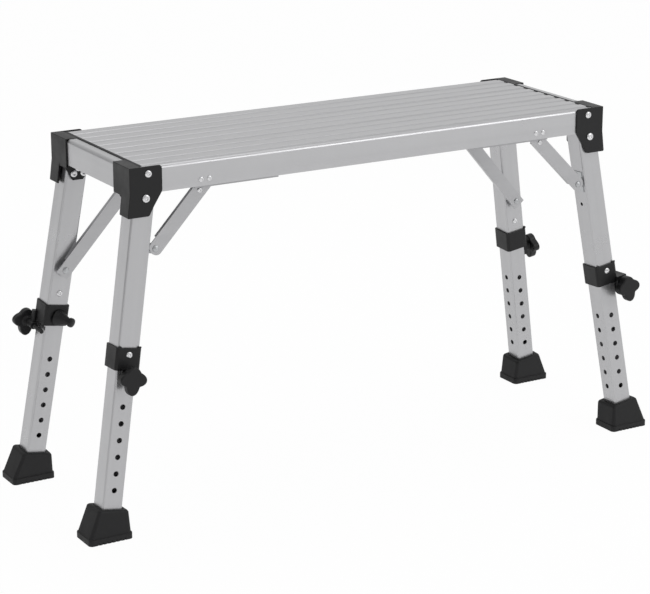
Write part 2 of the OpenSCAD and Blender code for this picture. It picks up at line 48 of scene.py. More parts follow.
PIVOT = Vector((0.470, 0.137, 0.599))
LEG = PIVOT.z / (math.cos(SPLAY) * math.cos(CANT))
DECK_X = 0.4735
DECK_Y = 0.1531
DECK_H = 0.656
SKIN_Z = 0.6548
PLANK_Z0 = 0.638
TUBE = 0.0414
TUBE_IN = 0.0386
COLLAR_TOP = 0.262
COLLAR_HALF = 0.024
SCREW_DROP = 0.312
SIDE_OFF = 0.028

CAMERA_AZIMUTH = math.radians(-30.46)
CAMERA_ELEVATION = math.radians(16.88)
CAMERA_PLACE = (-2.09341, -3.52645, 1.55429)
CAMERA_LENS = 124.69


# Camera at the photograph's viewing angle
def make_camera():
    forward = Vector((
        -math.sin(CAMERA_AZIMUTH) * math.cos(CAMERA_ELEVATION),
        math.cos(CAMERA_AZIMUTH) * math.cos(CAMERA_ELEVATION),
        -math.sin(CAMERA_ELEVATION),
    ))
    data = bpy.data.cameras.new("camera")
    data.sensor_width = 36
    data.lens = CAMERA_LENS
    data.clip_start = 0.1
    data.clip_end = 50
    camera = bpy.data.objects.new("camera", data)
    bpy.context.scene.collection.objects.link(camera)
    camera.location = CAMERA_PLACE
    camera.rotation_mode = "QUATERNION"
    camera.rotation_quaternion = forward.to_track_quat("-Z", "Y")
    bpy.context.scene.camera = camera


# Helpers for shader nodes
def new_material(name):
    material = bpy.data.materials.new(name)
    material.use_nodes = True
    tree = material.node_tree
    return material, tree, tree.nodes["Principled BSDF"]


def add(tree, kind, **sockets):
    made = tree.nodes.new(kind)
    for key, value in sockets.items():
        made.inputs[key.replace("_", " ")].default_value = value
    return made


def add_math(tree, operation, factor=None):
    made = tree.nodes.new("ShaderNodeMath")
    made.operation = operation
    if factor is not None:
        made.inputs[1].default_value = factor
    return made


def object_coordinates(tree, rotation=(0, 0, 0), scale=(1, 1, 1)):
    place = tree.nodes.new("ShaderNodeTexCoord")
    mapping = tree.nodes.new("ShaderNodeMapping")
    mapping.vector_type = "TEXTURE" if any(rotation) else "POINT"
    mapping.inputs["Rotation"].default_value = rotation
    tree.links.new(place.outputs["Object"], mapping.inputs["Vector"])
    stretch = tree.nodes.new("ShaderNodeVectorMath")
    stretch.operation = "MULTIPLY"
    stretch.inputs[1].default_value = scale
    tree.links.new(mapping.outputs["Vector"], stretch.inputs[0])
    return stretch.outputs[0]


def noise(tree, vector, scale, detail, roughness=0.55):
    made = add(tree, "ShaderNodeTexNoise", Scale=scale, Detail=detail, Roughness=roughness)
    tree.links.new(vector, made.inputs["Vector"])
    return made.outputs["Fac"]


def spread(tree, value, low, high, from_low=0.3, from_high=0.7):
    made = add(tree, "ShaderNodeMapRange", From_Min=from_low, From_Max=from_high, To_Min=low, To_Max=high)
    tree.links.new(value, made.inputs["Value"])
    return made.outputs["Result"]


def tint(tree, value, dark, light, low=0.3, high=0.7):
    ramp = tree.nodes.new("ShaderNodeValToRGB")
    for element, position, colour in zip(ramp.color_ramp.elements, (low, high), (dark, light)):
        element.position = position
        element.color = (*colour, 1)
    tree.links.new(value, ramp.inputs["Fac"])
    return ramp.outputs["Color"]


def half_and_half(tree, first, second):
    half = add_math(tree, "MULTIPLY", 0.5)
    both = add_math(tree, "MULTIPLY_ADD", 0.5)
    tree.links.new(second, half.inputs[0])
    tree.links.new(first, both.inputs[0])
    tree.links.new(half.outputs[0], both.inputs[2])
    return both.outputs[0]


def bump(tree, shader, height, strength, distance):
    made = add(tree, "ShaderNodeBump", Strength=strength, Distance=distance)
    tree.links.new(height, made.inputs["Height"])
    tree.links.new(made.outputs["Normal"], shader.inputs["Normal"])


# A pattern drawn out along one axis
def drawn_out(along, across_scale, along_scale):
    return tuple(along_scale if axis == along else across_scale for axis in "XYZ")


# Extruded aluminium: fine die lines along the section, faint clouding
def aluminium(name, colour, rough, rotation=(0, 0, 0), along="X", line=0.25):
    material, tree, shader = new_material(name)
    fine = object_coordinates(tree, rotation, drawn_out(along, 900, 4))
    broad = object_coordinates(tree, rotation, drawn_out(along, 60, 0.6))
    lines = noise(tree, fine, scale=1.0, detail=2.0)
    bands = noise(tree, broad, scale=1.0, detail=3.0)
    clouds = noise(tree, object_coordinates(tree), scale=14.0, detail=5.0, roughness=0.6)
    shade = half_and_half(tree, bands, clouds)
    dark = tuple(c * 0.93 for c in colour)
    tree.links.new(tint(tree, shade, dark, colour, low=0.35, high=0.65), shader.inputs["Base Color"])
    tree.links.new(spread(tree, clouds, rough - 0.05, rough + 0.07), shader.inputs["Roughness"])
    shader.inputs["Metallic"].default_value = 0.82
    bump(tree, shader, lines, strength=line, distance=0.0002)
    return material


# Moulded black plastic with a fine spark-eroded grain
def black_plastic(name, colour, rough):
    material, tree, shader = new_material(name)
    grain = noise(tree, object_coordinates(tree), scale=2200.0, detail=2.0, roughness=0.5)
    clouds = noise(tree, object_coordinates(tree), scale=30.0, detail=4.0, roughness=0.6)
    light = tuple(c * 1.45 for c in colour)
    tree.links.new(tint(tree, clouds, colour, light), shader.inputs["Base Color"])
    tree.links.new(spread(tree, clouds, rough - 0.05, rough + 0.08), shader.inputs["Roughness"])
    shader.inputs["Specular IOR Level"].default_value = 0.32
    bump(tree, shader, grain, strength=0.25, distance=0.0002)
    return material


# Matte rubber with faint dust
def dusty_rubber(name, clean, dusty):
    material, tree, shader = new_material(name)
    grain = noise(tree, object_coordinates(tree), scale=900.0, detail=3.0, roughness=0.6)
    dust = noise(tree, object_coordinates(tree), scale=55.0, detail=6.0, roughness=0.65)
    tree.links.new(tint(tree, dust, clean, dusty, low=0.4, high=0.75), shader.inputs["Base Color"])
    tree.links.new(spread(tree, dust, 0.55, 0.72), shader.inputs["Roughness"])
    shader.inputs["Specular IOR Level"].default_value = 0.35
    bump(tree, shader, grain, strength=0.3, distance=0.0003)
    return material


# Bright plated steel, a little dulled
def plated_steel(name, colour, rough):
    material, tree, shader = new_material(name)
    clouds = noise(tree, object_coordinates(tree), scale=160.0, detail=5.0, roughness=0.6)
    drawn = object_coordinates(tree, scale=drawn_out("Z", 900, 120))
    scratches = noise(tree, drawn, scale=1.0, detail=3.0)
    dark = tuple(c * 0.85 for c in colour)
    tree.links.new(tint(tree, clouds, dark, colour), shader.inputs["Base Color"])
    tree.links.new(spread(tree, clouds, rough - 0.06, rough + 0.1), shader.inputs["Roughness"])
    shader.inputs["Metallic"].default_value = 1.0
    bump(tree, shader, scratches, strength=0.15, distance=0.0001)
    return material


# The die lines of a tube lean with its leg
def tube_aluminium(corner):
    sx, sy = CORNERS[corner]
    lean = (sy * CANT, -sx * SPLAY, 0)
    return aluminium("tube_aluminium_" + corner, (0.49, 0.49, 0.50), 0.30, rotation=lean, along="Z")


deck_metal = aluminium("deck_aluminium", (0.50, 0.50, 0.51), 0.34)
rail_metal = aluminium("rail_aluminium", (0.51, 0.51, 0.52), 0.32)
end_metal = aluminium("end_rail_aluminium", (0.49, 0.49, 0.50), 0.34, along="Y")
tube_metal = {corner: tube_aluminium(corner) for corner in CORNERS}
brace_metal = aluminium("brace_aluminium", (0.46, 0.46, 0.47), 0.36, line=0.1)
guide_metal = aluminium("guide_aluminium", (0.40, 0.40, 0.41), 0.50, line=0.1)
plastic = black_plastic("black_plastic", (0.006, 0.006, 0.0065), 0.46)
seal_rubber = black_plastic("seal_rubber", (0.010, 0.010, 0.011), 0.6)
foot_rubber = dusty_rubber("foot_rubber", (0.007, 0.007, 0.0075), (0.015, 0.015, 0.016))
zinc = plated_steel("zinc_steel", (0.50, 0.51, 0.52), 0.38)
rivet_metal = plated_steel("rivet_steel", (0.74, 0.74, 0.75), 0.24)

# Hidden or small parts whose solids are shown as they are, each with its finish and rounding
SHOWN_NODES = {
    "cross_bar": (end_metal, 0),
    "brace_guide": (guide_metal, 0),
    "brace_lug": (zinc, 0),
    "brace_stud": (zinc, 0),
    "slider_pin": (plastic, 0.0008),
}


def finish_node(piece, material, edge):
    piece.data.materials.clear()
    piece.data.materials.append(material)
    weld = piece.modifiers.new("weld", "WELD")
    weld.merge_threshold = WELD_GAP
    flat = piece.modifiers.new("flat_faces", "DECIMATE")
    flat.decimate_type = "DISSOLVE"
    flat.angle_limit = math.radians(0.4)
    if edge:
        bevel = piece.modifiers.new("edges", "BEVEL")
        bevel.width = edge
        bevel.segments = 2
        bevel.limit_method = "ANGLE"
        bevel.angle_limit = math.radians(32)
    for face in piece.data.polygons:
        face.use_smooth = False


def finish_nodes():
    for name, piece in nodes.items():
        for start, (material, edge) in SHOWN_NODES.items():
            if name.startswith(start):
                finish_node(piece, material, edge)


# Places of a mirrored corner, its leg and its clamp
def mirror(sx, sy):
    return Matrix.Diagonal((sx, sy, 1, 1))


def leg_frame(corner):
    turn = Matrix.Rotation(CANT, 4, "X") @ Matrix.Rotation(-SPLAY, 4, "Y")
    return mirror(*CORNERS[corner]) @ Matrix.Translation(PIVOT) @ turn


def clamp_frame(corner):
    turn = Matrix.Rotation(-math.pi / 2, 4, "Z") if corner == "br" else Matrix.Identity(4)
    side = SIDE_OFF if corner in ("fr", "bl") else 0
    return leg_frame(corner) @ turn @ Matrix.Translation((side, 0, -SCREW_DROP))


# Workshop helpers: one piece on the bench at a time
def on_bench(piece, mode="OBJECT"):
    bpy.ops.object.select_all(action="DESELECT")
    piece.select_set(True)
    bpy.context.view_layer.objects.active = piece
    bpy.ops.object.mode_set(mode=mode)


def done():
    bpy.ops.object.mode_set(mode="OBJECT")


def pick(piece, kind, test):
    on_bench(piece)
    mesh = piece.data
    for group in (mesh.vertices, mesh.edges, mesh.polygons):
        group.foreach_set("select", [False] * len(group))
    if kind == "FACE":
        for face in mesh.polygons:
            face.select = test(face.normal)
    else:
        for edge in mesh.edges:
            edge.select = test(*(mesh.vertices[i].co for i in edge.vertices))
    bpy.ops.object.mode_set(mode="EDIT")
    bpy.ops.mesh.select_mode(type=kind)


def spans(a, b, axis, least):
    return abs(a[axis] - b[axis]) > least


def level(a, b, axis):
    return abs(a[axis] - b[axis]) < 0.001


def use_modifier(piece, name, kind, **settings):
    made = piece.modifiers.new(name, kind)
    for key, value in settings.items():
        setattr(made, key, value)
    on_bench(piece)
    bpy.ops.object.modifier_apply(modifier=name)


def discard(*pieces):
    for piece in pieces:
        bpy.data.objects.remove(piece)


# An edge chain or a flat face from a list of points
def drawn(name, points, edges, faces):
    mesh = bpy.data.meshes.new(name)
    mesh.from_pydata(points, edges, faces)
    piece = bpy.data.objects.new(name, mesh)
    bpy.context.scene.collection.objects.link(piece)
    return piece


# A flat outline extruded to a solid
def extruded(name, points, along):
    piece = drawn(name, points, [], [range(len(points))])
    on_bench(piece, "EDIT")
    bpy.ops.mesh.select_all(action="SELECT")
    bpy.ops.mesh.extrude_region_move(TRANSFORM_OT_translate={"value": along})
    face_outwards()
    return piece


def face_outwards():
    bpy.ops.mesh.select_all(action="SELECT")
    bpy.ops.mesh.normals_make_consistent(inside=False)
    done()


def block(size, place):
    bpy.ops.object.select_all(action="DESELECT")
    bpy.ops.mesh.primitive_cube_add(size=1, location=place, scale=size)
    bpy.ops.object.transform_apply()
    return bpy.context.object


def rod(width, length, place, turn, sides):
    bpy.ops.object.select_all(action="DESELECT")
    bpy.ops.mesh.primitive_cylinder_add(
        vertices=sides, radius=width / 2, depth=length, location=place, rotation=turn)
    bpy.ops.object.transform_apply()
    return bpy.context.object


# Turned form about the Y axis from radius and height pairs
def turned(profile, steps):
    points = [(radius, height, 0) for radius, height in profile]
    piece = drawn("profile", points, [(i, i + 1) for i in range(len(points) - 1)], [])
    on_bench(piece, "EDIT")
    bpy.ops.mesh.select_all(action="SELECT")
    bpy.ops.mesh.spin(steps=steps, angle=2 * math.pi, center=(0, 0, 0), axis=(0, 1, 0))
    bpy.ops.mesh.select_all(action="SELECT")
    bpy.ops.mesh.remove_doubles(threshold=0.000005)
    face_outwards()
    return piece


def joined(pieces):
    on_bench(pieces[0])
    for piece in pieces[1:]:
        piece.select_set(True)
    bpy.ops.object.join()
    return pieces[0]


def cut(piece, cutters):
    tool = joined(cutters)
    use_modifier(piece, "cut", "BOOLEAN", operation="DIFFERENCE", solver="EXACT", object=tool)
    discard(tool)


def round_edges(piece, test, wide, steps, clamp=True):
    pick(piece, "EDGE", test)
    bpy.ops.mesh.bevel(offset=wide, segments=steps, affect="EDGES", clamp_overlap=clamp)
    done()


# Copy of a drawn piece, put where a frame says
def copy_at(master, place):
    piece = master.copy()
    piece.data = master.data.copy()
    bpy.context.scene.collection.objects.link(piece)
    piece.data.transform(place)
    if place.determinant() < 0:
        piece.data.flip_normals()
    return piece


# Copy of a node with its triangles merged into whole faces
def merged_copy(source):
    piece = nodes[source].copy()
    piece.data = nodes[source].data.copy()
    bpy.context.scene.collection.objects.link(piece)
    on_bench(piece, "EDIT")
    bpy.ops.mesh.select_all(action="SELECT")
    bpy.ops.mesh.remove_doubles(threshold=WELD_GAP)
    bpy.ops.mesh.dissolve_limited(angle_limit=math.radians(0.5))
    done()
    return piece


# Angles in degrees past which an edge stays sharp: on sections, on mouldings and on turned forms
SHARP_SECTION = 35
SHARP_MOULDED = 38
SHARP_TURNED = 40


# Names a piece, gives it its finish and shading, and sets it on its body in place of its nodes
def finished(piece, name, material, body, replaced, sharp=SHARP_SECTION, even=True):
    on_bench(piece)
    piece.name = name
    piece.data.name = name
    piece.data.materials.clear()
    piece.data.materials.append(material)
    bpy.ops.object.shade_smooth_by_angle(angle=math.radians(sharp))
    if even:
        use_modifier(piece, "even_normals", "WEIGHTED_NORMAL", keep_sharp=True, weight=80)
    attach(piece, body)
    if replaced:
        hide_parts(*replaced)


PLANK_W = 0.10167
PLANK_GAP = 0.0006
RIBS = 3
RIB_PITCH = PLANK_W / RIBS
RIB_SHARE = 0.62
RIB_HALF = RIB_SHARE * RIB_PITCH / 2
RIB_SLOPE = 0.0012
RIB_ROUND = 0.0007


# Planks with low ribs along the deck
def make_planks():
    for index, side in enumerate(("front", "middle", "rear")):
        y0 = (index - 1) * (PLANK_W + PLANK_GAP) - PLANK_W / 2
        outline = [(y0, PLANK_Z0), (y0 + PLANK_W, PLANK_Z0), (y0 + PLANK_W, SKIN_Z)]
        for rib in reversed(range(RIBS)):
            middle = y0 + (rib + 0.5) * RIB_PITCH
            outline += [
                (middle + RIB_HALF, SKIN_Z),
                (middle + RIB_HALF - RIB_SLOPE, DECK_H),
                (middle - RIB_HALF + RIB_SLOPE, DECK_H),
                (middle - RIB_HALF, SKIN_Z),
            ]
        outline.append((y0, SKIN_Z))
        plank = extruded("plank", [(-DECK_X, y, z) for y, z in outline], (2 * DECK_X, 0, 0))
        round_edges(plank, lambda a, b: min(a.z, b.z) > DECK_H - HAIR and spans(a, b, X, 0.1),
                    RIB_ROUND, steps=3)
        finished(plank, "ribbed_plank_" + side, deck_metal, "deck", ["deck_plank_" + side])


SEAL_WIDE = 0.0064
SEAL_OUT = 0.0014
SEAL_TOP = 0.6561
SEAL_ROUND = 0.0008


# Seal strips in the gaps at the deck's ends
def make_seals():
    for sx, side in ((-1, "left"), (1, "right")):
        middle = (sx * (DECK_X + SEAL_OUT), 0, (SEAL_TOP + PLANK_Z0) / 2)
        strip = block((SEAL_WIDE, 2 * DECK_Y, SEAL_TOP - PLANK_Z0), middle)
        round_edges(strip, lambda a, b: min(a.z, b.z) > SKIN_Z and spans(a, b, Y, 0.1),
                    SEAL_ROUND, steps=3)
        finished(strip, side + "_seal_strip", seal_rubber, "deck", [side + "_gap_seal"])


def make_rails():
    for name in ("front_rail", "rear_rail", "left_end_rail", "right_end_rail"):
        metal = end_metal if "end" in name else rail_metal
        finished(merged_copy(name), name + "_section", metal, "deck", [name])


TUBE_ROUND = 0.0038
TUBE_TOP = 0.012
TUBE_END = 0.285
TUBE_WALL = 0.00125
TUBE_IN_TOP = 0.215
TUBE_IN_END = 0.5948
TUBE_IN_WALL = 0.002
PIVOT_HOLE_D = 0.0102
SMALL_HOLE_D = 0.007
SMALL_HOLE_DROP = 0.135
LAST_HOLE = 0.5178
HOLE_STEP = 0.030
HOLES = 6
HOLE_D = 0.010
HOLE_SIDES = 28


# Square tube with rounded edges, drawn down the leg, with holes of a width at distances down it
def square_tube(wide, top, end, wall, holes_through, holes_inboard):
    tube = block((wide, wide, end - top), (0, 0, -(top + end) / 2))
    round_edges(tube, lambda a, b: spans(a, b, Z, 0.05), TUBE_ROUND, steps=6)
    pick(tube, "FACE", lambda normal: abs(normal.z) > 0.9)
    bpy.ops.mesh.delete(type="FACE")
    done()
    use_modifier(tube, "wall", "SOLIDIFY", thickness=wall, offset=-1)
    cutters = [rod(width, 2 * wide, (0, 0, -drop), (math.pi / 2, 0, 0), HOLE_SIDES)
               for width, drop in holes_through]
    cutters += [rod(width, wide / 2, (-wide / 2, 0, -drop), (0, math.pi / 2, 0), HOLE_SIDES)
                for width, drop in holes_inboard]
    cut(tube, cutters)
    return tube


def make_tubes():
    row = [(HOLE_D, LAST_HOLE - HOLE_STEP * i) for i in range(HOLES)]
    outer = square_tube(TUBE, -TUBE_TOP, TUBE_END, TUBE_WALL, [(PIVOT_HOLE_D, 0)],
                        [(SMALL_HOLE_D, SMALL_HOLE_DROP)])
    inner = square_tube(TUBE_IN, TUBE_IN_TOP, TUBE_IN_END, TUBE_IN_WALL, row, row)
    for corner in CORNERS:
        finished(copy_at(outer, leg_frame(corner)), "leg_tube_" + corner, tube_metal[corner],
                 "leg_" + corner, ["outer_tube_" + corner])
        finished(copy_at(inner, leg_frame(corner)), "sliding_tube_" + corner, tube_metal[corner],
                 "lower_leg_" + corner, ["inner_tube_" + corner])
    discard(outer, inner)


BOSS_FACE = 0.030
KNOB_BASE = BOSS_FACE + 0.0005
KNOB_TIP = 0.0253
KNOB_LOPSIDED = 0.0034
KNOB_WAIST = 0.0182
KNOB_STEPS = 96
KNOB_T = 0.015
KNOB_FRONT_ROUND = 0.0028
KNOB_BACK_ROUND = 0.0022
STEM = 0.008
STEM_IN_STAR = 0.001
STEM_PROFILE = [(0, 0), (0.0068, 0), (0.0078, 0.0008), (0.0078, 0.004), (0.0095, 0.0066),
                (0.0125, STEM + STEM_IN_STAR), (0, STEM + STEM_IN_STAR)]
SCREW_R = 0.004
SCREW_PAST_TUBE = 0.006
SCREW_BACKED_OFF = 0.0004
SCREW_IN_STEM = 0.001


# Four broad round lobes, the lowest one the longest
def star_plate():
    outline = []
    for step in range(KNOB_STEPS):
        angle = 2 * math.pi * step / KNOB_STEPS
        tip = KNOB_TIP + KNOB_LOPSIDED * math.cos(angle)
        reach = KNOB_WAIST + (tip - KNOB_WAIST) * (0.5 + 0.5 * math.cos(4 * angle)) ** 0.75
        outline.append((reach * math.sin(angle), reach * math.cos(angle), 0))
    star = extruded("star", outline, (0, 0, KNOB_T))
    round_edges(star, lambda a, b: min(a.z, b.z) > KNOB_T - HAIR, KNOB_FRONT_ROUND, steps=5)
    round_edges(star, lambda a, b: max(a.z, b.z) < HAIR, KNOB_BACK_ROUND, steps=4)
    star.data.transform(Matrix.Translation((0, KNOB_BASE + STEM, 0)) @ Matrix.Rotation(-math.pi / 2, 4, "X"))
    return star


# Star knobs with their stems and clamp screws, which pass beside the tube in two clamps
def make_knobs():
    star = star_plate()
    stem = turned([(radius, KNOB_BASE + height) for radius, height in STEM_PROFILE], steps=36)
    for corner in CORNERS:
        beside = corner in ("fr", "bl")
        screw_tip = -TUBE / 2 - SCREW_PAST_TUBE if beside else TUBE_IN / 2 + SCREW_BACKED_OFF
        screw_end = KNOB_BASE + SCREW_IN_STEM
        screw = turned([(0, screw_tip), (SCREW_R, screw_tip), (SCREW_R, screw_end), (0, screw_end)],
                       steps=24)
        place = clamp_frame(corner)
        whole = joined([copy_at(piece, place) for piece in (star, stem, screw)])
        finished(whole, "clamp_knob_" + corner, plastic, "knob_" + corner,
                 ["star_knob_" + corner], sharp=SHARP_TURNED)
        discard(screw)
    discard(star, stem)


FOOT = (0.084, 0.061)
FOOT_CORNER = 0.0075
FOOT_RIM = 0.0115
FOOT_H = 0.056
SHOULDER_NARROW = 0.85
NOTCH = (0.0030, 0.0024, 0.009)
NOTCH_STEP = 0.0085
NOTCHES_EACH_WAY = 3

# Rings of the foot from the sole up: how far inside the sole's outline, and how high
RIM_RINGS = [(0, 0.0014), (0, FOOT_RIM - 0.0012), (0.0004, FOOT_RIM - 0.0003), (0.0015, FOOT_RIM),
             (0.0019, FOOT_RIM + 0.0008)]

# Rings of the shoulder and the socket: how far outside the tube, and how far below the shoulder
SHOULDER_RINGS = [(0.0108, 0.006), (0.0102, 0.003), (0.0084, 0.0009), (0.0058, 0), (0.0016, 0),
                  (0.0004, 0.0012), (0.0004, 0.040)]


# Foot: notched rim, tapering body that leans with the leg, rounded shoulders and a socket
def foot_moulding():
    leg = leg_frame("br")
    sole = leg @ Vector((0, 0, -LEG))
    half_x, half_y = FOOT[0] / 2, FOOT[1] / 2
    bpy.ops.object.select_all(action="DESELECT")
    bpy.ops.mesh.primitive_plane_add(size=1, location=(0, 0, 0))
    foot = bpy.context.object
    foot.data.transform(Matrix.Diagonal((*FOOT, 1, 1)))
    on_bench(foot, "EDIT")
    bpy.ops.mesh.select_all(action="SELECT")
    bpy.ops.mesh.bevel(offset=FOOT_CORNER, segments=6, affect="VERTICES")
    done()
    outline = [tuple(v.co.xy) for v in foot.data.vertices]
    foot.data.transform(Matrix.Translation((sole.x, sole.y, 0)))

    def low(x, y, inset, z):
        return Vector((sole.x + x * (1 - inset / half_x), sole.y + y * (1 - inset / half_y), z))

    def high(x, y, grow, drop):
        wide = TUBE_IN / 2 + grow
        deep = TUBE_IN / 2 + grow * SHOULDER_NARROW
        return leg @ Vector((x * wide / half_x, y * deep / half_y, -(LEG - FOOT_H + drop)))

    rim = [[low(x, y, *ring) for x, y in outline] for ring in RIM_RINGS]
    shoulder = [[high(x, y, *ring) for x, y in outline] for ring in SHOULDER_RINGS]
    between = [below.lerp(above, 0.5) for below, above in zip(rim[-1], shoulder[0])]
    pick(foot, "FACE", lambda normal: True)
    last = [Vector((sole.x + x, sole.y + y, 0)) for x, y in outline]
    for ring in (*rim, between, *shoulder):
        bpy.ops.object.mode_set(mode="EDIT")
        bpy.ops.mesh.extrude_region_move(TRANSFORM_OT_translate={"value": (0, 0, HAIR)})
        done()
        for vertex in [v for v in foot.data.vertices if v.select]:
            nearest = min(range(len(last)), key=lambda i: (last[i] - vertex.co).length)
            vertex.co = ring[nearest]
        last = ring
    on_bench(foot, "EDIT")
    face_outwards()
    cut(foot, [block(NOTCH, (sole.x + i * NOTCH_STEP, sole.y + side * half_y, 0))
               for i in range(-NOTCHES_EACH_WAY, NOTCHES_EACH_WAY + 1) for side in (-1, 1)])
    return foot


def make_feet():
    foot = foot_moulding()
    for corner, signs in CORNERS.items():
        finished(copy_at(foot, mirror(*signs)), "rubber_foot_" + corner, foot_rubber,
                 "lower_leg_" + corner, ["foot_" + corner], sharp=SHARP_MOULDED)
    discard(foot)


# Rim, crown and the shallow dimple left by the setting tool, as shares of a head's radius and height
HEAD_PROFILE = [(1, 0), (1, 0.2), (0.96, 0.45), (0.84, 0.78), (0.68, 0.96), (0.54, 1), (0.45, 0.94),
                (0.36, 0.5), (0.22, 0.34), (0, 0.3)]
OVER = Matrix.Rotation(math.pi, 4, "X")
DOWNWARDS = Matrix.Rotation(-math.pi / 2, 4, "X")
INBOARD = Matrix.Rotation(math.pi / 2, 4, "Z")


# Rivet along +Y: a shank that reaches back, and its head
def rivet(width, tall, shank, reach):
    body = [(0, -reach), (shank / 2, -reach), (shank / 2, 0)]
    return turned(body + [(width / 2 * out, tall * up) for out, up in HEAD_PROFILE], steps=32)


def finished_rivets(made, name, body, replaced):
    finished(joined(made), name, rivet_metal, body, replaced,
             sharp=SHARP_TURNED, even=False)


BRACKET_RIVET = (0.4645, 0.164, 0.643)
CHEEK_RIVETS = ((0.4605, 0.1121, 0.587), (0.4795, 0.1121, 0.587))


def make_bracket_rivets():
    head = rivet(width=0.0132, tall=0.0026, shank=0.005, reach=0.007)
    made = []
    for sx, sy in CORNERS.values():
        made.append(copy_at(head, mirror(sx, sy) @ Matrix.Translation(BRACKET_RIVET)))
        if sy > 0:
            for place in CHEEK_RIVETS:
                made.append(copy_at(head, mirror(sx, 1) @ Matrix.Translation(place) @ OVER))
    finished_rivets(made, "bracket_rivet_heads", "deck", ["bracket_rivets"])
    discard(head)


PIVOT_HEAD_OUT = 0.02764
PIVOT_HEAD_IN = 0.0254


def make_pivot_rivets():
    outer = rivet(width=0.0145, tall=0.0026, shank=0.010, reach=0.052)
    inner = rivet(width=0.0145, tall=0.0022, shank=0.010, reach=0.002)
    made = []
    for signs in CORNERS.values():
        pin = mirror(*signs) @ Matrix.Translation(PIVOT) @ Matrix.Rotation(CANT, 4, "X")
        made.append(copy_at(outer, pin @ Matrix.Translation((0, PIVOT_HEAD_OUT, 0))))
        made.append(copy_at(inner, pin @ OVER @ Matrix.Translation((0, PIVOT_HEAD_IN, 0))))
    finished_rivets(made, "leg_pivot_rivets", "deck", ["leg_pivot_pins"])
    discard(outer, inner)


FRONT_GUIDE_RIVETS = ((0.346, 0.161, 0.620), (0.362, 0.161, 0.620))
REAR_GUIDE_RIVETS = ((0.029, 0.106, 0.636), (0.319, 0.106, 0.636))


# The front channels are riveted through the rail, and the rear ones up into the cross bars
def make_guide_rivets():
    head = rivet(width=0.0098, tall=0.0018, shank=0.005, reach=0.005)
    made = []
    for sx in (-1, 1):
        for place in FRONT_GUIDE_RIVETS:
            made.append(copy_at(head, mirror(sx, -1) @ Matrix.Translation(place)))
        for place in REAR_GUIDE_RIVETS:
            made.append(copy_at(head, mirror(sx, 1) @ Matrix.Translation(place) @ DOWNWARDS))
    finished_rivets(made, "guide_rivet_heads", "deck", ["guide_rivets"])
    discard(head)


COLLAR_RIVET_DROP = 0.012
TUBE_RIVET_RISE = 0.022
LUG_RIVET_OUT = 0.0018
LUG_RIVET_SIDE = -0.004
LUG_RIVET_DROPS = (0.074, 0.102)


# A rivet in each collar, one more in a rear tube, and the two of a front leg's brace lug
def make_tube_rivets():
    large = rivet(width=0.0115, tall=0.0022, shank=0.005, reach=0.003)
    small = rivet(width=0.0066, tall=0.0012, shank=0.003, reach=0.002)
    for corner, (_, sy) in CORNERS.items():
        leg = leg_frame(corner)
        at_collar = Matrix.Translation((0, COLLAR_HALF, -COLLAR_TOP - COLLAR_RIVET_DROP))
        made = [copy_at(large, leg @ at_collar)]
        if sy > 0:
            at_tube = Matrix.Translation((0, -TUBE / 2, -COLLAR_TOP + TUBE_RIVET_RISE))
            made.append(copy_at(large, leg @ at_tube @ OVER))
        else:
            for drop in LUG_RIVET_DROPS:
                at_lug = Matrix.Translation((-TUBE / 2 - LUG_RIVET_OUT, LUG_RIVET_SIDE, -drop))
                made.append(copy_at(small, leg @ at_lug @ INBOARD))
        finished_rivets(made, "tube_rivet_heads_" + corner, "leg_" + corner, ["tube_rivets_" + corner])
    discard(large, small)


# Test for the edges that are sharp before any of them is rounded
def sharp_edges(piece):
    on_bench(piece, "EDIT")
    bpy.ops.mesh.select_mode(type="EDGE")
    bpy.ops.mesh.select_all(action="DESELECT")
    bpy.ops.mesh.edges_select_sharp(sharpness=math.radians(SHARP_MOULDED))
    done()
    picked = [edge.vertices for edge in piece.data.edges if edge.select]

    def spots(ends):
        return frozenset(tuple(round(c, 6) for c in end) for end in ends)

    known = {spots(piece.data.vertices[i].co for i in pair) for pair in picked}
    return lambda a, b: spots((a, b)) in known


BRACKET_END_X = 0.4995
BRACKET_SIDE_Y = 0.1635
BRACKET_TOP_Z = 0.6557
BRACKET_INNER_Y = 0.104
INNER_END_MARGIN = 0.0006
BRACKET_WIDER = 0.006
BRACKET_ROUND = 0.0012


def outside_bracket(a, b):
    return (min(abs(a.x), abs(b.x)) > BRACKET_END_X or min(abs(a.y), abs(b.y)) > BRACKET_SIDE_Y
            or min(a.z, b.z) > BRACKET_TOP_Z)


# Copy of a bracket's solid, 6 mm wider across the end, with its outer edges rounded
def make_bracket(corner):
    bracket = merged_copy("corner_bracket_" + corner)
    for vertex in bracket.data.vertices:
        if abs(abs(vertex.co.y) - BRACKET_INNER_Y) < INNER_END_MARGIN:
            vertex.co.y -= math.copysign(BRACKET_WIDER, vertex.co.y)
    sharp = sharp_edges(bracket)
    round_edges(bracket, lambda a, b: sharp(a, b) and outside_bracket(a, b),
                BRACKET_ROUND, steps=3, clamp=False)
    finished(bracket, "bracket_moulding_" + corner, plastic, "deck",
             ["corner_bracket_" + corner], sharp=SHARP_MOULDED)


COLLAR_OUTSIDE = 0.0235
COLLAR_ROUND = 0.0014
SHORT_EDGE = 0.0012


# Copy of a collar's solid with its outer edges rounded
def make_collar(corner):
    collar = merged_copy("collar_" + corner)
    to_leg = leg_frame(corner).inverted()
    sharp = sharp_edges(collar)

    def outside(point):
        own = to_leg @ point
        return max(abs(own.x), abs(own.y)) > COLLAR_OUTSIDE

    def rounded(a, b):
        return sharp(a, b) and (a - b).length > SHORT_EDGE and outside(a) and outside(b)

    round_edges(collar, rounded, COLLAR_ROUND, steps=3)
    finished(collar, "collar_moulding_" + corner, plastic, "leg_" + corner,
             ["collar_" + corner], sharp=SHARP_MOULDED)


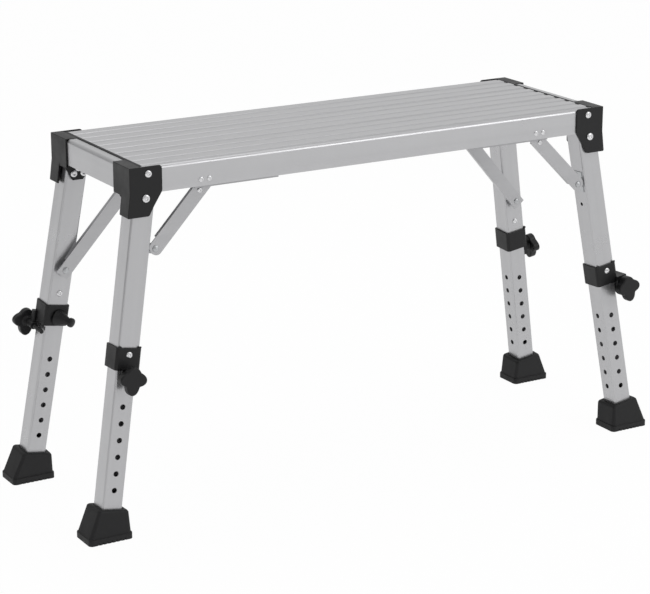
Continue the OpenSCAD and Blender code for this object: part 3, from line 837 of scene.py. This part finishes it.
COLLAR_LONG = 0.040
SHELL_CORNER = 0.006
SHELL_EDGE = 0.0012
WEB = (0.0080, 0.0120, 0.0280)
WEB_PLACE = (0.0262, 0.018, -COLLAR_TOP - 0.036)
WEB_ROUND = 0.003
BOSS_D = 0.014
BOSS_LONG = 0.022
BOSS_MIDDLE = 0.019
BOSS_ROUND = 0.001
ARM_ROOT = Vector((-0.0035, -0.0205, -COLLAR_TOP - 0.0235))
ARM_TIP = Vector((-0.0185, -0.0450, -COLLAR_TOP - 0.0262))
ARM_LONG = (ARM_TIP - ARM_ROOT).length
ARM_PROFILE = [(0, 0), (0.0165, 0), (0.0160, 0.004), (0.0130, 0.0095), (0.0090, 0.017)]
CAP_PROFILE = [(0.0068, -0.005), (0.0068, -0.003), (0.0084, -0.0024), (0.0088, -0.001), (0.0088, 0.003),
               (0.0080, 0.0048), (0.0055, 0.0062), (0, 0.0066)]


# The rear left collar: its clamp is behind it and its tapered arm points to the front
def make_rear_left_collar():
    shell = block((2 * COLLAR_HALF, 2 * COLLAR_HALF, COLLAR_LONG), (0, 0, -COLLAR_TOP - COLLAR_LONG / 2))
    round_edges(shell, lambda a, b: spans(a, b, Z, 0.02), SHELL_CORNER, steps=5)
    round_edges(shell, lambda a, b: level(a, b, Z), SHELL_EDGE, steps=3)
    web = block(WEB, WEB_PLACE)
    round_edges(web, lambda a, b: spans(a, b, Z, 0.02), WEB_ROUND, steps=4)
    boss = rod(BOSS_D, BOSS_LONG, (SIDE_OFF, BOSS_MIDDLE, -SCREW_DROP), (math.pi / 2, 0, 0), sides=36)
    round_edges(boss, lambda a, b: level(a, b, Y), BOSS_ROUND, steps=3)
    arm = turned(ARM_PROFILE + [(radius, ARM_LONG + height) for radius, height in CAP_PROFILE], steps=40)
    along = (ARM_TIP - ARM_ROOT).to_track_quat("Y", "Z").to_matrix().to_4x4()
    arm.data.transform(Matrix.Translation(ARM_ROOT) @ along)
    whole = joined([shell, web, boss, arm])
    finished(copy_at(whole, leg_frame("bl")), "collar_moulding_bl", plastic, "leg_bl",
             ["collar_bl"], sharp=SHARP_TURNED)
    discard(whole)


# A brace's lower pin down the leg and inboard of it, and its upper pin inboard of the pivot and above it
FRONT_PINS = (0.088, 0.034, 0.127, 0.018)
REAR_PINS = (0.1925, 0.0, 0.145, 0.009)
BRACE_WIDER = 26 / 22
BRACE_RIVET_ALONG = 0.128
BRACE_RIVET_OUT = 0.016


# Frame of a brace: origin at its lower pin, +X to its upper pin
def brace_frame(corner):
    sx, sy = CORNERS[corner]
    drop, inboard, top_inboard, rise = FRONT_PINS if sy < 0 else REAR_PINS
    low = Vector((drop * math.sin(SPLAY) - inboard * math.cos(SPLAY), 0,
                  -drop * math.cos(SPLAY) - inboard * math.sin(SPLAY)))
    run = Vector((-top_inboard, 0, rise / math.cos(CANT))) - low
    plane = mirror(sx, sy) @ Matrix.Translation(PIVOT) @ Matrix.Rotation(CANT, 4, "X")
    return plane @ Matrix.Translation(low) @ Matrix.Rotation(-math.atan2(run.z, run.x), 4, "Y")


# Copies of the brace solids at their shown width, and a rivet on each front one
def make_braces():
    head = rivet(width=0.0098, tall=0.0018, shank=0.005, reach=0.0035)
    for corner in CORNERS:
        brace = merged_copy("brace_" + corner)
        place = brace_frame(corner)
        brace.data.transform(place @ Matrix.Diagonal((1, 1, BRACE_WIDER, 1)) @ place.inverted())
        finished(brace, "brace_channel_" + corner, brace_metal, "brace_" + corner,
                 ["brace_" + corner])
        if corner in ("fl", "fr"):
            at_brace = place @ Matrix.Translation((BRACE_RIVET_ALONG, BRACE_RIVET_OUT, 0))
            finished(copy_at(head, at_brace), "brace_rivet_head_" + corner, rivet_metal, "brace_" + corner,
                     [], sharp=SHARP_TURNED, even=False)
    discard(head)


FLOOR_SIZE = 30
FLOOR_GREY = 0.9
FLOOR_GLOW = 0.97
WORLD_DARK = 0.26
WORLD_LIGHT = 0.84
BRIGHT_SIDE = Vector((0.75, 0.25, 0.60)).normalized()
LAMP_AIM = Vector((0, 0, 0.35))

# Each lamp's place, size in metres and power in watts
LAMPS = {
    "key_lamp": ((2.2, -3.2, 2.4), 2.4, 40),
    "fill_lamp": ((-3.0, -2.0, 2.4), 2.4, 8),
    "top_lamp": ((0.2, 0.4, 3.6), 2.2, 16),
}


# Plain pale floor, which glows only as the camera and mirrors see it
def make_floor():
    bpy.ops.object.select_all(action="DESELECT")
    bpy.ops.mesh.primitive_plane_add(size=FLOOR_SIZE, location=(0, 0, 0))
    floor = bpy.context.object
    floor.name = "floor"
    material, tree, shader = new_material("studio_floor")
    shader.inputs["Base Color"].default_value = (FLOOR_GREY, FLOOR_GREY, FLOOR_GREY, 1)
    shader.inputs["Roughness"].default_value = 0.9
    glow = add(tree, "ShaderNodeEmission", Color=(1, 1, 1, 1), Strength=1.0)
    seen = tree.nodes.new("ShaderNodeLightPath")
    either = add_math(tree, "MAXIMUM")
    share = add_math(tree, "MULTIPLY", FLOOR_GLOW)
    mix = tree.nodes.new("ShaderNodeMixShader")
    tree.links.new(seen.outputs["Is Camera Ray"], either.inputs[0])
    tree.links.new(seen.outputs["Is Glossy Ray"], either.inputs[1])
    tree.links.new(either.outputs[0], share.inputs[0])
    tree.links.new(share.outputs[0], mix.inputs["Fac"])
    tree.links.new(shader.outputs[0], mix.inputs[1])
    tree.links.new(glow.outputs[0], mix.inputs[2])
    tree.links.new(mix.outputs[0], tree.nodes["Material Output"].inputs["Surface"])
    floor.data.materials.append(material)


# A studio that is brighter towards the rear right and above, and plain white to the camera
def make_world():
    world = bpy.data.worlds.new("studio")
    bpy.context.scene.world = world
    world.use_nodes = True
    tree = world.node_tree
    soft = tree.nodes["Background"]
    soft.inputs["Color"].default_value = (1, 1, 1, 1)
    place = tree.nodes.new("ShaderNodeTexCoord")
    towards = tree.nodes.new("ShaderNodeVectorMath")
    towards.operation = "DOT_PRODUCT"
    towards.inputs[1].default_value = BRIGHT_SIDE
    tree.links.new(place.outputs["Generated"], towards.inputs[0])
    strength = spread(tree, towards.outputs["Value"], WORLD_DARK, WORLD_LIGHT, from_low=-0.7, from_high=0.8)
    tree.links.new(strength, soft.inputs["Strength"])
    white = add(tree, "ShaderNodeBackground", Color=(1, 1, 1, 1), Strength=1.0)
    seen = tree.nodes.new("ShaderNodeLightPath")
    mix = tree.nodes.new("ShaderNodeMixShader")
    tree.links.new(seen.outputs["Is Camera Ray"], mix.inputs["Fac"])
    tree.links.new(soft.outputs[0], mix.inputs[1])
    tree.links.new(white.outputs[0], mix.inputs[2])
    tree.links.new(mix.outputs[0], tree.nodes["World Output"].inputs["Surface"])


def make_lamps():
    for name, (place, size, power) in LAMPS.items():
        data = bpy.data.lights.new(name, "AREA")
        data.shape = "SQUARE"
        data.size = size
        data.energy = power
        lamp = bpy.data.objects.new(name, data)
        bpy.context.scene.collection.objects.link(lamp)
        lamp.location = place
        lamp.visible_camera = False
        lamp.rotation_mode = "QUATERNION"
        lamp.rotation_quaternion = (LAMP_AIM - Vector(place)).to_track_quat("-Z", "Y")


make_camera()
make_planks()
make_seals()
make_rails()
make_tubes()
make_knobs()
make_feet()
make_bracket_rivets()
make_pivot_rivets()
make_guide_rivets()
make_tube_rivets()
for name in CORNERS:
    make_bracket(name)
    if name != "bl":
        make_collar(name)
make_rear_left_collar()
make_braces()
finish_nodes()
make_floor()
make_world()
make_lamps()
bpy.context.scene.view_settings.view_transform = "Standard"
